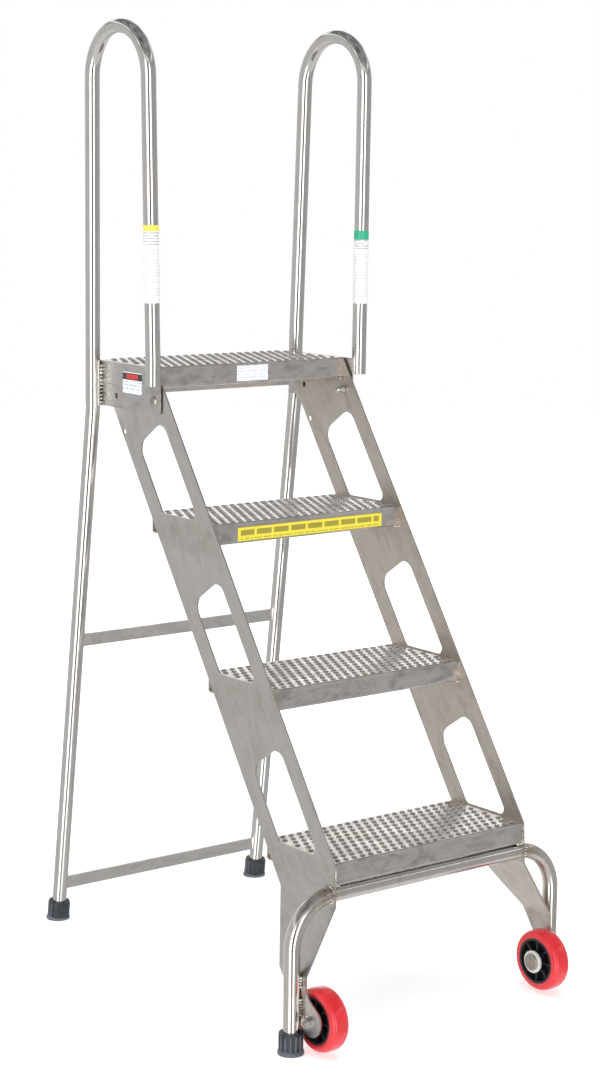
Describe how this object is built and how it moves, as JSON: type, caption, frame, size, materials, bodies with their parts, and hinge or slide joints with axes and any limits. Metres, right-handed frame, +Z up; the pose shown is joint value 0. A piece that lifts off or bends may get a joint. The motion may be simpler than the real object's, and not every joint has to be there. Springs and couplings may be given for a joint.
{
  "type": "folding mobile ladder stand",
  "caption": "Folding stainless steel step stand with tube handrails, a wheeled front foot and a hinged rear frame that folds under the steps",
  "frame": {"origin": "on the floor, at the centre of the open stand's footprint", "axes": "+X to the right seen from the front, +Y to the rear, +Z up; the stand is symmetric about the YZ plane but for the lock plunger and labels"},
  "size_m": [0.5846, 0.8572, 1.5802],
  "materials": {
    "brushed_plate": "dull rolled stainless plate",
    "tread_sheet": "rolled stainless sheet with raised holes",
    "polished_tube": "bright drawn stainless tube",
    "weld_bead": "weld bead, lightly heat tinted",
    "fastener_steel": "plain zinc or stainless fastener",
    "spring_steel": "drawn spring wire",
    "foot_rubber": "matt moulded rubber",
    "wheel_tread": "smooth polyurethane tread",
    "wheel_hub": "moulded hub",
    "bush_plastic": "plain bearing bush",
    "knob_plastic": "moulded pull knob",
    "white_label": "laminated film label",
    "yellow_label": "laminated film label"
  },
  "bodies": {
    "front_ladder": {"left_stringer": "brushed_plate", "right_stringer": "brushed_plate", "step_1": "tread_sheet", "step_2": "tread_sheet", "step_3": "tread_sheet", "step_4": "tread_sheet", "base_tube": "polished_tube", "ladder_welds": "weld_bead", "left_front_foot": "foot_rubber", "right_front_foot": "foot_rubber", "axle_bolts": "fastener_steel", "wheel_spacers": "bush_plastic", "axle_washers": "fastener_steel", "axle_nuts": "fastener_steel", "top_step_label": "white_label", "second_step_label": "yellow_label"},
    "rear_frame": {"left_handrail_tube": "polished_tube", "right_handrail_tube": "polished_tube", "left_bracket": "brushed_plate", "right_bracket": "brushed_plate", "stop_bar": "brushed_plate", "mid_crossbar": "polished_tube", "lower_crossbar": "polished_tube", "frame_welds": "weld_bead", "left_rear_foot": "foot_rubber", "right_rear_foot": "foot_rubber", "pivot_bolts": "fastener_steel", "pivot_spacers": "fastener_steel", "pivot_nuts": "fastener_steel", "lock_housing": "fastener_steel", "lock_spring": "spring_steel", "bracket_label": "white_label", "left_rail_label": "white_label", "right_rail_label": "white_label"},
    "lock_plunger": {"lock_pin": "fastener_steel", "lock_knob": "knob_plastic"},
    "left_wheel": {"left_wheel_tread": "wheel_tread", "left_wheel_hub": "wheel_hub", "left_wheel_bush": "bush_plastic"},
    "right_wheel": {"right_wheel_tread": "wheel_tread", "right_wheel_hub": "wheel_hub", "right_wheel_bush": "bush_plastic"}
  },
  "joints": [
    {"name": "fold", "type": "hinge", "parent": "front_ladder", "child": "rear_frame", "pos_m": [0, 0.1282, 0.96], "axis": [-1, 0, 0], "range_deg": [0, 32.4]},
    {"name": "lock_slide", "type": "slide", "parent": "rear_frame", "child": "lock_plunger", "axis": [-1, 0, 0], "range_m": [0, 0.0125], "deforming": ["lock_spring"]},
    {"name": "left_wheel_spin", "type": "hinge", "parent": "front_ladder", "child": "left_wheel", "pos_m": [-0.2322, -0.3778, 0.0545], "axis": [1, 0, 0], "continuous": true},
    {"name": "right_wheel_spin", "type": "hinge", "parent": "front_ladder", "child": "right_wheel", "pos_m": [0.2322, -0.3778, 0.0545], "axis": [1, 0, 0], "continuous": true}
  ]
}
